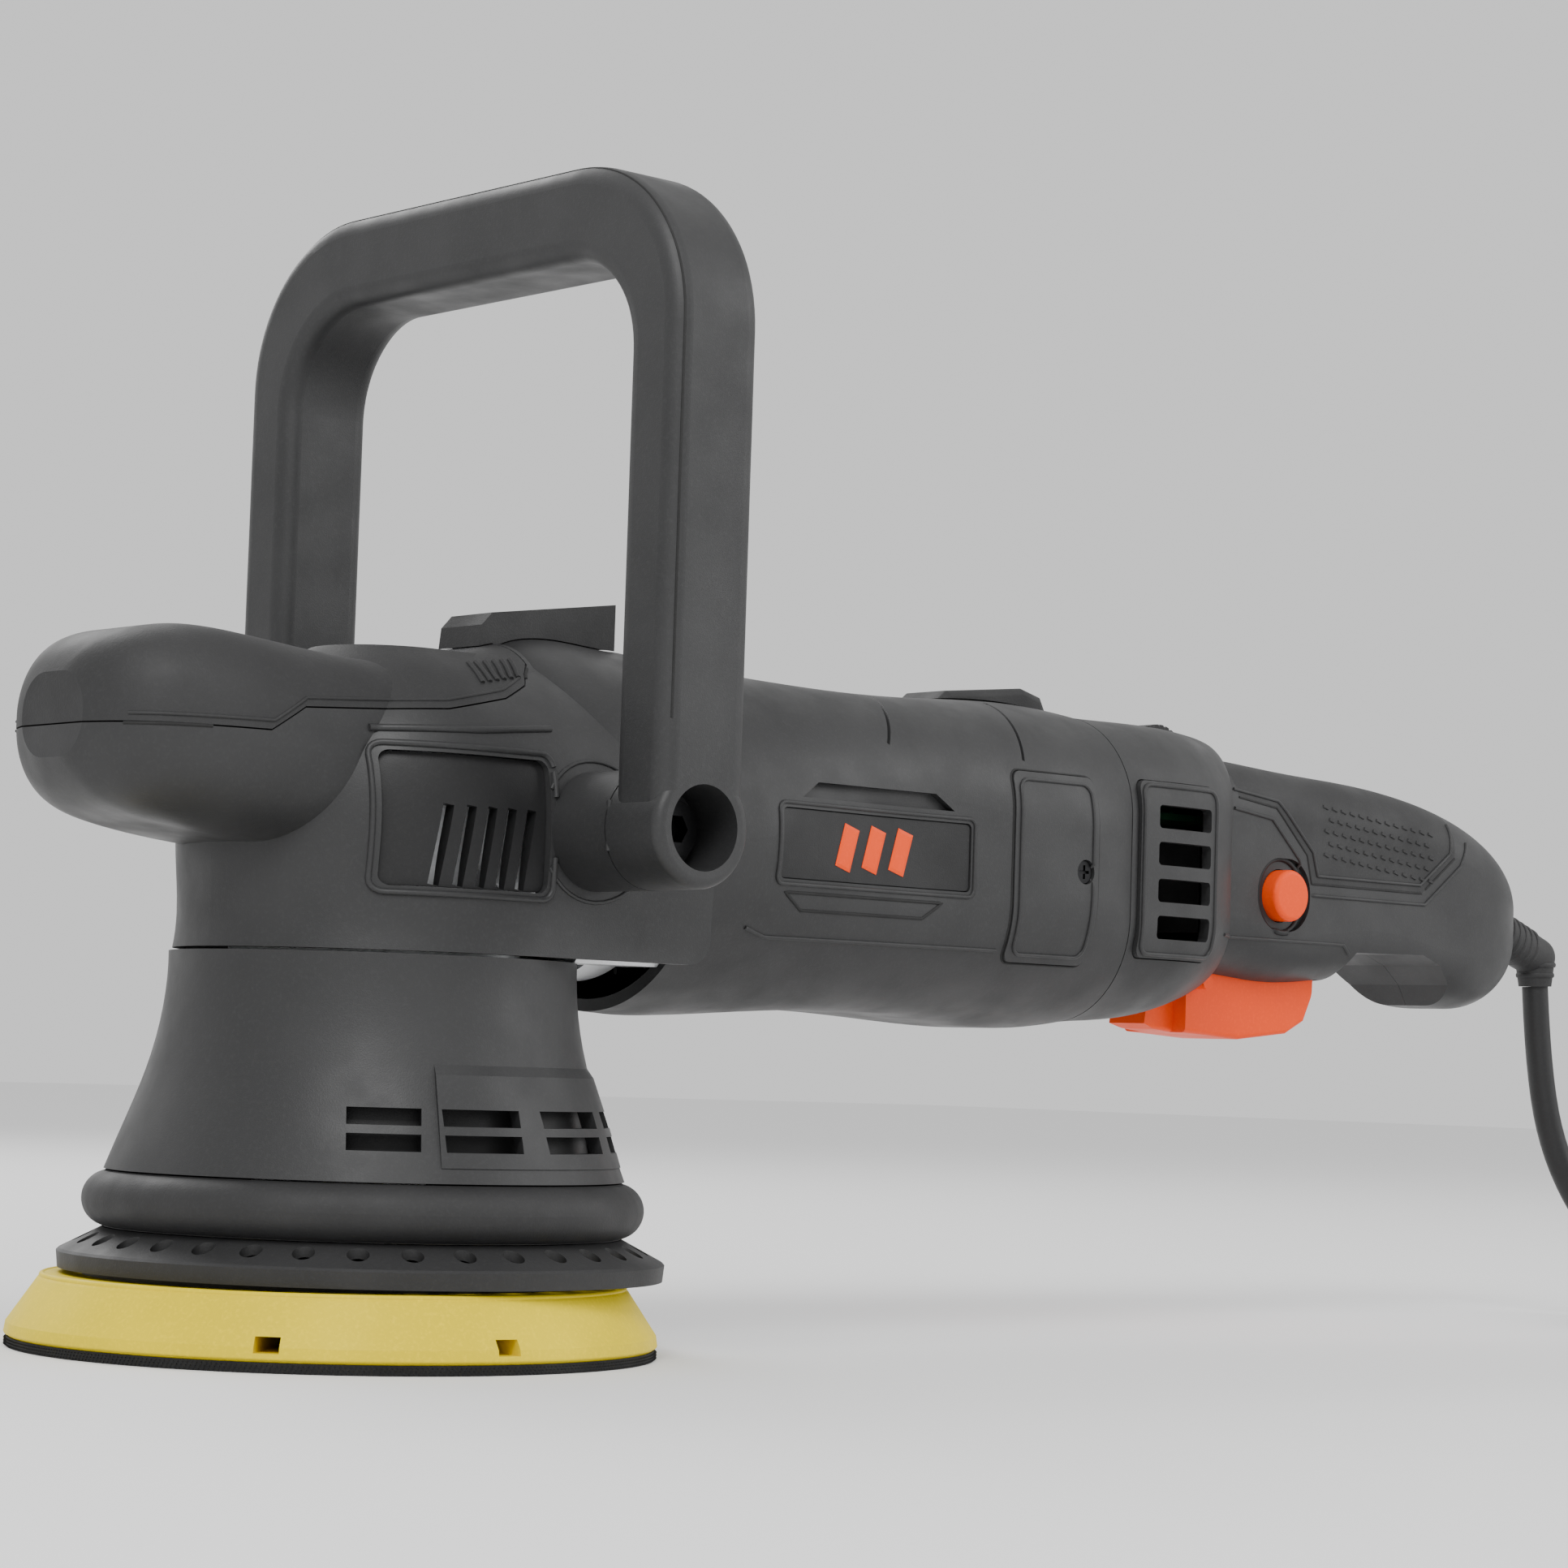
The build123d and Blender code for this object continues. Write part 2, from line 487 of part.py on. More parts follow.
def motor_housing():
    outer = loft_x(BARREL_ROWS)
    body = outer - loft_x(BARREL_ROWS, WALL)
    # two slanted grooves over the top
    groove_core = loft_x(BARREL_ROWS, 0.8)
    for top_x, run in ((146, 10), (189, 6)):
        lean = math.degrees(math.atan2(run, 16))
        slab = Pos(top_x - run / 2, 0, 157.5) * Rot(0, lean, 0) * Box(0.9, 100, 17.5)
        body -= slab - groove_core
    body -= rod_x(37.2, 60, 230) & block(60, 205, -60, 60, 60, 190)
    web = rod_x(38.0, 203, 217) & outer
    web -= ring_x(33, 15, 200, 219) - block(190, 230, -4, 4, 60, 190) - block(190, 230, -50, 50, 120, 128)
    body += web
    body -= rod_x(11, 206.2, 219)
    body -= rod_x(6.5, 190, 210)
    # seats that grip the stator
    for k in range(4):
        turn = Pos(0, 0, MOTOR_Z) * Rot(45 + 90 * k, 0, 0)
        body += turn * block(112, 160, -5, 5, 34.7, 38.6)
    x0, x1, z0, z1 = DOOR
    door_core = loft_x(BARREL_ROWS, 2.2)
    label_core = loft_x(BARREL_ROWS, 1.4)
    cuts = []
    for side in (-1, 1):
        seat = pill_y(x0, x1, z0, z1, 3, side * 30, side * 60) - door_core
        cuts.append(seat)
        cuts.append(pill_y(x0 + 3.5, x1 - 3.5, z0 + 12, z1 - 12, 2, side * 34, side * 60))
        lx0, lx1, lz0, lz1 = LABEL
        cuts.append(pill_y(lx0, lx1, lz0, lz1, 1.5, side * 30, side * 60) - label_core)
        slit = [(103.5, 134.4), (156.5, 134.4), (150, 138.4), (109.5, 138.4)]
        face = make_face(Polyline(*[(x, side * 50, z) for x, z in slit], close=True))
        cuts.append(extrude(face, 20, dir=(0, -side, 0)) - door_core)
    body -= cuts
    keep("motor_housing", biggest(body))

    skin = outer - loft_x(BARREL_ROWS, 1.3)
    lx0, lx1, lz0, lz1 = LABEL
    label = pill_y(lx0 + 0.3, lx1 - 0.3, lz0 + 0.3, lz1 - 0.3, 1.2, -60, -30) & skin
    label -= loft_x(BARREL_ROWS, 0) - loft_x(BARREL_ROWS, 0.4)
    label = biggest(label)
    keep("label_plates", Compound(children=[label, mirrored(label)]))

    proud = loft_x([(x, w + 0.5, lo - 0.5, hi + 0.5, c) for x, w, lo, hi, c in BARREL_ROWS])
    door = pill_y(x0 + 0.35, x1 - 0.35, z0 + 0.35, z1 - 0.35, 2.8, -60, -30)
    door = door & (proud - loft_x(BARREL_ROWS, 2.1))
    door -= rod_y(3.2, -60, -41.6, x1 - 5.2, 121.6)
    door -= rod_y(1.7, -60, -30, x1 - 5.2, 121.6)
    keep("left_brush_door", biggest(door))
    keep("right_brush_door", mirrored(nodes["left_brush_door"]))
    screws = []
    for side in (-1, 1):
        head = rod_y(2.9, side * 41.6, side * 42.9, x1 - 5.2, 121.6)
        cross = Pos(x1 - 5.2, side * 42.9, 121.6)
        head -= cross * Box(3.6, 1.4, 0.8) + cross * Box(0.8, 1.4, 3.6)
        screws.append(head + rod_y(1.6, side * 38.9, side * 41.7, x1 - 5.2, 121.6))
    keep("brush_door_screws", Compound(children=screws))

    rear = [(180.5, 160), (181.2, 166.4), (184.6, 169.2), (212.5, 172.2), (219.6, 170.4), (221.7, 166.6),
            (221.7, 160)]
    pad = profile_y(rear, -9, 9)
    pad = fillet([e for e in pad.edges() if e.center().Z > 165 and abs(e.center().Y) > 8.9], 2.0)
    pad -= proud
    keep("rear_rest", biggest(pad))


# ---- rear handle, in two shells split at y = 0 ------------------------------------------
DOME_ROWS = [(222.3, 40.8, 83.0, 165.0, 28), (238, 40.5, 84.2, 165.0, 27), (254, 38.8, 86.6, 165.0, 26),
             (266, 34.6, 89.5, 164.7, 24), (276, 28.0, 92.5, 164.2, 20), (284.5, 17.0, 96.5, 163.4, 12)]
HANDLE_ROWS = [(240, 22.5, 96.4, 158.6, 15), (270, 23.4, 96.6, 158.4, 15), (300, 23.6, 97.0, 157.9, 15),
               (330, 22.6, 98.0, 156.3, 14), (366, 21.8, 97.0, 153.6, 14), (392, 21.4, 92.5, 148.4, 15),
               (406, 19.5, 93.5, 143.6, 15), (416, 16.0, 98.0, 138.0, 13),
               (HANDLE_END_X, 11.0, 106.5, 131.0, 10.5)]
NOTCH = [(333.5, 76), (335.2, 101), (338.5, 106.6), (368, 107.2), (376, 104.5), (383, 99), (387.5, 92),
         (389.5, 76)]
GRIP_ZONE = [(284, 147.4), (299.5, 145.4), (313.4, 133), (315.6, 125), (366, 125), (381, 136), (385, 175),
             (284, 175)]
VENT = (225.0, 258.5, 100.5, 147.5)
VENT_SLOT_Z = (138.2, 128.4, 118.6, 108.8)
HANDLE_SCREWS = [(345, 114.5), (399, 108), (372, 144), (296, 148), (238, 96)]
LOCK_X, LOCK_Z = 303.0, 121.0
TRIGGER_PIVOT = (281.0, 96.0)
DIAL_X, DIAL_Z, DIAL_R = 272.0, 156.5, 11.0


def rear_form(inset=0.0):
    """The rounded rear of the housing with the grip growing out of it, drawn in by inset."""
    return loft_x(DOME_ROWS, inset) + loft_x(HANDLE_ROWS, inset)


def handle_shells():
    outer = rear_form() - profile_y(NOTCH, -60, 60)
    wide_notch = [(x - 3 if x < 350 else x + 3, z + (3 if z > 80 else 0)) for x, z in NOTCH]
    inner = rear_form(WALL) - profile_y(wide_notch, -60, 60) - block(HANDLE_END_X - 3, 430, -20, 20, 90, 140)
    body = outer - inner
    pivot_x, pivot_z = TRIGGER_PIVOT
    posts = [rod_y(4.2, -45, 45, x, z) for x, z in HANDLE_SCREWS]
    posts += [rod_y(4.6, side * 12.4, side * 36, pivot_x, pivot_z) for side in (-1, 1)]
    body += [post & outer for post in posts]

    cuts = [block(271.2, 332, -7.4, 7.4, 60, 107), block(276.0, 332, -12.2, 12.2, 60, 107)]
    cuts += [rod_y(2.06, side * 12, side * 16.6, pivot_x, pivot_z) for side in (-1, 1)]
    for x, z in HANDLE_SCREWS:
        cuts += [rod_y(1.6, -9, 12.5, x, z), rod_y(3.6, 12, 45, x, z)]
    cuts.append(block(DIAL_X - DIAL_R - 0.8, DIAL_X + DIAL_R + 0.8, -4.1, 4.1, 150, 175))
    cuts.append(rod_x(6.9, 412, 430, z=118.8))
    cuts.append(rod_y(7.5, -40, -12, LOCK_X, LOCK_Z))
    recess = pill_y(LOCK_X - 11, LOCK_X + 12, LOCK_Z - 10, LOCK_Z + 10.5, 9.6, -60, -10)
    cuts.append(recess - rear_form(1.5))
    x0, x1, z0, z1 = VENT
    skin = rear_form(1.3)
    core = rear_form(2.2)
    grips = []
    for side in (-1, 1):
        seat = pill_y(x0 - 0.3, x1 + 0.3, z0 - 0.3, z1 + 0.3, 3, side * 20, side * 60)
        cuts.append(seat - core)
        cuts.append(pill_y(x0 + 4.5, x1 - 3, z0 + 3, z1 - 3, 2, side * 20, side * 60))
        low, high = min(0, side * 50), max(0, side * 50)
        grips.append((profile_y(GRIP_ZONE, low, high) & outer) - skin)
    cuts.append(profile_y(GRIP_ZONE, -50, 50) - skin)
    body -= cuts
    left = body - block(200, 440, -PARTING, 60, 60, 180)
    right = body - block(200, 440, -60, PARTING, 60, 180)
    keep("left_handle_shell", biggest(left))
    keep("right_handle_shell", biggest(right))
    keep("left_grip", biggest(grips[0]))
    keep("right_grip", biggest(grips[1]))

    screws = []
    for x, z in HANDLE_SCREWS:
        head = rod_y(3.3, 12, 14.5, x, z)
        head -= Pos(x, 14.6, z) * (Box(4.2, 2.4, 1.0) + Box(1.0, 2.4, 4.2))
        screws.append(head + rod_y(1.5, -8, 12.2, x, z))
    keep("handle_screws", Compound(children=screws))

    proud = loft_x([(x, w + 0.9, lo - 0.9, hi + 0.9, c) for x, w, lo, hi, c in DOME_ROWS[:4]])
    cover = pill_y(x0, x1, z0, z1, 2.8, -60, -20) & (proud - loft_x(DOME_ROWS[:4], 2.1))
    for z in VENT_SLOT_Z:
        cover -= pill_y(232.0, 254.6, z - 3.1, z + 3.1, 1.2, -60, -20)
    keep("left_vent_cover", biggest(cover))
    keep("right_vent_cover", mirrored(nodes["left_vent_cover"]))


def controls():
    pivot_x, pivot_z = TRIGGER_PIVOT
    side_view = [(265.5, 84.0), (270, 82.6), (277, 81.9), (300, 80.6), (320, 82.8), (327.5, 86.5),
                 (330.2, 92),
                 (330.5, 99.4), (272.2, 99.4), (271.8, 90.3), (266.2, 88.6)]
    wide = profile_y(side_view, -11.5, 11.5) & block(277, 340, -12, 12, 70, 110)
    wide = fillet([e for e in wide.edges() if e.center().Z < 90 and abs(e.center().Y) > 11], 1.4)
    narrow = profile_y(side_view, -6.6, 6.6) & block(250, 281, -12, 12, 70, 110)
    narrow = fillet([e for e in narrow.edges() if e.center().Z < 83 and abs(e.center().Y) > 6], 1.2)
    trigger = wide + narrow
    trigger += rod_y(2.0, -16, 16, pivot_x, pivot_z)
    keep("trigger", trigger)
    keep("switch_body", block(284, 324, -9, 9, 110, 136) + block(300, 308, -4, 4, 107.4, 110.5))
    button = rod_y(7.2, -27.2, -17, LOCK_X, LOCK_Z)
    button = fillet([e for e in button.edges() if e.center().Y < -27], 1.4)
    keep("lock_button", button)
    dial = rod_y(DIAL_R, -3.6, 3.6, DIAL_X, DIAL_Z) + rod_y(1.5, -6.3, 6.3, DIAL_X, DIAL_Z)
    knurls = 30
    for k in range(knurls):
        turn = 2 * math.pi * k / knurls
        x = DIAL_X + DIAL_R * math.sin(turn)
        dial -= rod_y(0.5, -4, 4, x, DIAL_Z + DIAL_R * math.cos(turn))
    keep("speed_dial", dial)
    board = block(262, 292, -14, 14, 140, 142)
    for side in (-1, 1):
        board += block(269, 275, side * 4.3, side * 6.6, 141, 159.5)
        board -= rod_y(1.55, side * 4, side * 7, DIAL_X, DIAL_Z)
    keep("control_board", board)


# ---- cord ------------------------------------------------------------------------------------
def cone_between(start, end, r_start, r_end):
    p, q = Vector(*start), Vector(*end)
    return Plane(origin=p, z_dir=q - p) * Cone(r_start, r_end, (q - p).length, align=LOW)


CORD_ROUTE = [CORD_EXIT, (450.2, -0.8, 75.5), (454.5, -4.5, 48.5), (466, -12, 25.5), (483.5, -20.5, 11.5),
              (504, -31.5, 5.6), (524, -55, 4.4), (532, -84, 4.0)]


def cord():
    relief = rod_x(6.8 - 0.1, 414, 423.5, z=118.8) + rod_x(8.6, 413.8, 416, z=118.8)
    elbow = (CORD_EXIT[0] - 0.3, 0, CORD_EXIT[2] + 9)
    relief += cone_between((423.5, 0, 118.6), elbow, 6.7, 6.2)
    relief += Pos(*elbow) * Sphere(6.2) + cone_between(elbow, CORD_EXIT, 6.2, 5.0)
    keep("strain_relief", relief)
    clamp = block(398, 409, -9, 9, 113, 117.5) - rod_x(3.9, 397, 412, z=118.8)
    keep("cord_clamp", clamp)

    route = [Vector(*p) for p in CORD_ROUTE]
    runs = [b - a for a, b in zip(route, route[1:])]
    radii = []
    for before, after in zip(runs, runs[1:]):
        half_turn = math.radians(before.get_angle(after)) / 2
        radii.append(0.45 * min(before.length, after.length) / math.tan(half_turn))
    path = FilletPolyline(*route, radius=radii)
    start = Plane(origin=route[0], z_dir=runs[0])
    tube = sweep(start * Circle(CORD_D / 2), path=path)
    print("cord radii", [round(r, 1) for r in radii], "runs", [round(r.length, 1) for r in runs])
    print("cord tube volume", round(tube.volume, 1), "section x length",
          round(math.pi * CORD_D ** 2 / 4 * path.length, 1), "length", round(path.length, 1))
    keep("power_cord", tube)

    ring = Cylinder(COIL_OUT_R, COIL_H, align=LOW) - Cylinder(COIL_IN_R, COIL_H, align=LOW)
    coil = Pos(COIL_X, COIL_Y, 0) * ring
    coil = fillet(coil.edges().filter_by(GeomType.CIRCLE), 3.0)
    keep("cord_coil", coil)

    y, z = COIL_Y - 42, COIL_H + 9.2
    body = block(COIL_X - 24, COIL_X + 10, y - 11, y + 11, z - 8.8, z + 8.8)
    body = fillet(body.edges(), 3.0)
    body += cone_between((COIL_X + 8, y, z), (COIL_X + 34, y + 3, COIL_H + 3.5), 6.5, 4.6)
    keep("plug_body", body)
    blades = []
    for side in (-1, 1):
        mid = y + side * 6.35
        blades.append(block(COIL_X - 41.5, COIL_X - 24, mid - 0.75, mid + 0.75, z - 3.2, z + 3.2))
    keep("plug_blades", Compound(children=blades))


for make in (pad_stack, spindle_group, gear_case, armature, motor_fixed_parts, shroud_parts,
             head_parts, bail, motor_housing, handle_shells, controls, cord):
    make()

for name, shape in nodes.items():
    export_step(shape, f"parts/{name}.step")
print(len(nodes), "nodes")
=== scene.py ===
import json
import math

import bmesh
import bpy
from mathutils import Matrix, Vector
from mathutils.bvhtree import BVHTree


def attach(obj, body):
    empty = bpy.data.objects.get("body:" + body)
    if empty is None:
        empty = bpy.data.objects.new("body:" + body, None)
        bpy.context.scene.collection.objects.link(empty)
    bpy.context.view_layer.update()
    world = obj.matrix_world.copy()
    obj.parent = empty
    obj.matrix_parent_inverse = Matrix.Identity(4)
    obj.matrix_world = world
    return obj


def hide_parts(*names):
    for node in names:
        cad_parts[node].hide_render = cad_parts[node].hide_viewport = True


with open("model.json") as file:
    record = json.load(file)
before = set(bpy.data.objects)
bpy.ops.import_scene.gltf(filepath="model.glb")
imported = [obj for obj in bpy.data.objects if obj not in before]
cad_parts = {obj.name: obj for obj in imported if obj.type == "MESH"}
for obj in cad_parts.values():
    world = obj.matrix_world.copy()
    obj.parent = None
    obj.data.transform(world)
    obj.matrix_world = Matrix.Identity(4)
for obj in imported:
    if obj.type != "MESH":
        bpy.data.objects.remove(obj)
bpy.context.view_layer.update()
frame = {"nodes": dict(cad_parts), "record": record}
NODES = frame["nodes"]
SLOT_OF = {row["node"]: row["material_slot"] for row in frame["record"]["subparts"]}
MM = 0.001
UP = Vector((0, 0, 1))
DOWN = Vector((0, 0, -1))


# ---- camera, light and floor --------------------------------------------------------------
YAW, PITCH, ROLL = math.radians(42.0), math.radians(4.12), math.radians(1.81)
SENSOR_MM = 36
FOCAL_OVER_WIDTH = 2.5442
EYE = Vector((-0.5480, -0.7585, 0.0676))
LIT_POINT = (0.12, 0.0, 0.13)
FLOOR_HALF_SIDE = 6
FLOOR_GREY = (0.86, 0.86, 0.86, 1)


def add_camera():
    ahead = Vector((math.sin(YAW) * math.cos(PITCH), math.cos(YAW) * math.cos(PITCH), math.sin(PITCH)))
    level = Vector((math.cos(YAW), -math.sin(YAW), 0))
    upright = level.cross(ahead)
    right = level * math.cos(ROLL) + upright * math.sin(ROLL)
    up = upright * math.cos(ROLL) - level * math.sin(ROLL)
    data = bpy.data.cameras.new("camera")
    data.sensor_width = SENSOR_MM
    data.lens = FOCAL_OVER_WIDTH * SENSOR_MM
    data.clip_end = 50
    camera = bpy.data.objects.new("camera", data)
    turn = Matrix((right, up, -ahead)).transposed()
    camera.matrix_world = Matrix.Translation(EYE) @ turn.to_4x4()
    bpy.context.scene.collection.objects.link(camera)
    bpy.context.scene.camera = camera


def add_light(name, place, width, power):
    """A square area light in watts, turned to the middle of the object."""
    data = bpy.data.lights.new(name, "AREA")
    data.shape = "SQUARE"
    data.size = width
    data.energy = power
    lamp = bpy.data.objects.new(name, data)
    lamp.location = place
    lamp.rotation_euler = (Vector(LIT_POINT) - Vector(place)).to_track_quat("-Z", "Y").to_euler()
    bpy.context.scene.collection.objects.link(lamp)


def add_stage():
    """A wide pale floor, an even white surround and three soft lights."""
    mesh = bmesh.new()
    bmesh.ops.create_grid(mesh, x_segments=2, y_segments=2, size=FLOOR_HALF_SIDE)
    data = bpy.data.meshes.new("floor")
    mesh.to_mesh(data)
    mesh.free()
    floor = bpy.data.objects.new("floor", data)
    bpy.context.scene.collection.objects.link(floor)
    paint = bpy.data.materials.new("floor")
    paint.use_nodes = True
    shader = paint.node_tree.nodes["Principled BSDF"]
    shader.inputs["Base Color"].default_value = FLOOR_GREY
    shader.inputs["Roughness"].default_value = 0.9
    data.materials.append(paint)

    world = bpy.data.worlds.new("studio")
    world.use_nodes = True
    surround = world.node_tree.nodes["Background"]
    surround.inputs["Color"].default_value = (1, 1, 1, 1)
    surround.inputs["Strength"].default_value = 0.9
    bpy.context.scene.world = world
    add_light("key", (-0.75, -1.0, 1.35), 0.8, 21)
    add_light("fill", (1.3, -1.1, 0.8), 1.0, 8)
    add_light("back", (0.2, 1.5, 1.2), 1.0, 15)


add_camera()
add_stage()


# ---- materials ------------------------------------------------------------------------------
class Look:
    """A node material under construction, with object coordinates in metres."""

    def __init__(self, name, color, rough):
        self.material = bpy.data.materials.new(name)
        self.material.use_nodes = True
        self.tree = self.material.node_tree
        self.shader = self.tree.nodes["Principled BSDF"]
        self.place = self.tree.nodes.new("ShaderNodeTexCoord").outputs["Object"]
        self.shader.inputs["Base Color"].default_value = (*color, 1)
        self.shader.inputs["Roughness"].default_value = rough

    def node(self, kind, **inputs):
        made = self.tree.nodes.new(kind)
        for key, value in inputs.items():
            name = key.replace("_", " ")
            if isinstance(value, bpy.types.NodeSocket):
                self.tree.links.new(value, made.inputs[name])
            else:
                made.inputs[name].default_value = value
        return made

    def noise(self, size_mm, detail):
        made = self.node("ShaderNodeTexNoise", Vector=self.place, Scale=1 / (size_mm * MM), Detail=detail)
        return made.outputs["Fac"]

    def ramp(self, value, low, high, to_low, to_high):
        made = self.tree.nodes.new("ShaderNodeMapRange")
        self.tree.links.new(value, made.inputs["Value"])
        for name, number in (("From Min", low), ("From Max", high), ("To Min", to_low), ("To Max", to_high)):
            made.inputs[name].default_value = number
        return made.outputs["Result"]

    def tint(self, value, other, low, high, amount):
        """Mix the base colour towards another where value is high."""
        mix = self.tree.nodes.new("ShaderNodeMix")
        mix.data_type = "RGBA"
        base = self.shader.inputs["Base Color"]
        if base.is_linked:
            self.tree.links.new(base.links[0].from_socket, mix.inputs["A"])
        else:
            mix.inputs["A"].default_value = base.default_value
        mix.inputs["B"].default_value = (*other, 1)
        self.tree.links.new(self.ramp(value, low, high, 0, amount), mix.inputs["Factor"])
        self.tree.links.new(mix.outputs["Result"], base)

    def vary_rough(self, value, low, high):
        self.tree.links.new(self.ramp(value, 0.3, 0.7, low, high), self.shader.inputs["Roughness"])

    def bump(self, value, height_mm, strength):
        made = self.node("ShaderNodeBump", Height=value, Distance=height_mm * MM, Strength=strength)
        self.tree.links.new(made.outputs["Normal"], self.shader.inputs["Normal"])


def moulded(name, color, rough, grain_mm, depth):
    """Moulded plastic with a spark-eroded grain, faint handling marks and dust."""
    look = Look(name, color, rough)
    lighter = tuple(min(1, c * 1.35 + 0.006) for c in color)
    look.tint(look.noise(38, 3), lighter, 0.4, 0.75, 0.45)
    look.tint(look.noise(0.9, 2), lighter, 0.5, 0.8, 0.5)
    look.vary_rough(look.noise(14, 4), rough - 0.07, rough + 0.1)
    look.bump(look.noise(grain_mm, 2), depth, 0.7)
    return look


# name: colour, roughness, grain in mm, grain depth in mm
FINISHES = {
    "black_plastic": ((0.023, 0.0232, 0.0238), 0.48, 0.35, 0.05),
    "dark_plastic": ((0.008, 0.008, 0.0085), 0.5, 0.35, 0.05),
    "soft_rubber": ((0.020, 0.020, 0.0205), 0.6, 0.5, 0.09),
    "gloss_insert": ((0.16, 0.16, 0.165), 0.12, 1.5, 0.004),
    "orange_plastic": ((0.86, 0.062, 0.002), 0.45, 0.5, 0.02),
    "yellow_pad": ((0.74, 0.565, 0.0), 0.5, 0.8, 0.03),
    "hook_fabric": ((0.010, 0.010, 0.010), 0.95, 0.6, 0.4),
    "cast_aluminium": ((0.66, 0.67, 0.68), 0.42, 0.5, 0.05),
    "steel": ((0.55, 0.56, 0.58), 0.3, 0.4, 0.01),
    "dark_screw": ((0.022, 0.022, 0.023), 0.38, 0.4, 0.01),
    "copper_wire": ((0.7, 0.3, 0.14), 0.35, 0.4, 0.01),
    "laminate": ((0.3, 0.31, 0.33), 0.45, 0.4, 0.01),
    "brass_fitting": ((0.75, 0.55, 0.22), 0.3, 0.4, 0.01),
    "carbon": ((0.02, 0.02, 0.02), 0.6, 0.35, 0.05),
    "board": ((0.02, 0.12, 0.05), 0.4, 0.35, 0.05),
    "cord_jacket": ((0.012, 0.012, 0.0125), 0.48, 0.9, 0.02),
    "groove": ((0.004, 0.004, 0.004), 0.7, 0.35, 0.05),
}
METALLIC = {"cast_aluminium": 0.85, "steel": 1.0, "dark_screw": 1.0, "copper_wire": 1.0, "laminate": 1.0,
            "brass_fitting": 1.0}
SPECULAR = {"black_plastic": 0.38, "dark_plastic": 0.38, "soft_rubber": 0.38, "cord_jacket": 0.38,
            "orange_plastic": 0.2, "yellow_pad": 0.2}


def make_materials():
    looks = {name: moulded(name, *finish) for name, finish in FINISHES.items()}
    for name, metallic in METALLIC.items():
        looks[name].shader.inputs["Metallic"].default_value = metallic
    for name, specular in SPECULAR.items():
        looks[name].shader.inputs["Specular IOR Level"].default_value = specular
    return {name: look.material for name, look in looks.items()}


LOOKS = make_materials()


def dress_nodes():
    """Every CAD piece gets its material."""
    for name, node in NODES.items():
        node.data.materials.clear()
        node.data.materials.append(LOOKS[SLOT_OF[name]])


dress_nodes()


def place_piece(made, look, body):
    """Link a piece, finish it in the named look and let it ride its body."""
    made.data.materials.append(LOOKS[look])
    bpy.context.scene.collection.objects.link(made)
    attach(made, body)
    return made


# ---- placing detail on the surface ---------------------------------------------------------
TREES = {}


def tree_of(name):
    if name not in TREES:
        node = NODES[name]
        places = [node.matrix_world @ v.co for v in node.data.vertices]
        TREES[name] = BVHTree.FromPolygons(places, [tuple(p.vertices) for p in node.data.polygons])
    return TREES[name]


def touch(names, start, ahead, lift=0.0):
    """Where a ray first meets one of the named pieces: the point, lifted in mm, and the normal there."""
    best = None
    for name in names:
        place, normal, _, distance = tree_of(name).ray_cast(start, ahead)
        if place is not None and (best is None or distance < best[2]):
            best = (place, normal if normal.dot(ahead) < 0 else -normal, distance)
    if best is None:
        return None
    return best[0] + best[1] * lift * MM, best[1]


def on_side(names, side, x, z, lift=0.0):
    return touch(names, Vector((x * MM, side * 0.3, z * MM)), Vector((0, -side, 0)), lift)


def on_top(names, x, y, lift=0.0):
    return touch(names, Vector((x * MM, y * MM, 0.5)), DOWN, lift)


def fine_steps(corners, step=1.2, closed=False):
    """Points at most step apart along a line of corners."""
    ring = list(corners) + ([corners[0]] if closed else [])
    fine = []
    for (a, b), (c, d) in zip(ring, ring[1:]):
        count = max(1, math.ceil(math.hypot(c - a, d - b) / step))
        fine += [(a + (c - a) * k / count, b + (d - b) * k / count) for k in range(count)]
    return fine if closed else fine + [ring[-1]]


def round_box(x0, x1, z0, z1, r, steps=5):
    """Corners of a rounded rectangle."""
    ring = []
    centres = ((x1 - r, z1 - r, 0), (x0 + r, z1 - r, 90), (x0 + r, z0 + r, 180), (x1 - r, z0 + r, 270))
    for cx, cz, start in centres:
        for k in range(steps + 1):
            angle = math.radians(start + 90 * k / steps)
            ring.append((cx + r * math.cos(angle), cz + r * math.sin(angle)))
    return ring


def tubes(name, runs, radius, look, body="housing"):
    """Thin round beads along runs of points; each run is (points, closed)."""
    data = bpy.data.curves.new(name, "CURVE")
    data.dimensions = "3D"
    data.bevel_depth = radius * MM
    data.bevel_resolution = 2
    data.use_fill_caps = True
    for points, closed in runs:
        spline = data.splines.new("POLY")
        spline.points.add(len(points) - 1)
        for slot, place in zip(spline.points, points):
            slot.co = (*place, 1)
        spline.use_cyclic_u = closed
        spline.use_smooth = True
    return place_piece(bpy.data.objects.new(name, data), look, body)


def unbroken(points, gap_mm=4.0):
    """Split a run of points wherever one is missing or the surface steps away."""
    parts, last = [[]], None
    for point in points:
        if point is None or (last is not None and (point - last).length > gap_mm * MM):
            parts.append([])
        if point is not None:
            parts[-1].append(point)
        last = point
    return [part for part in parts if len(part) > 2]


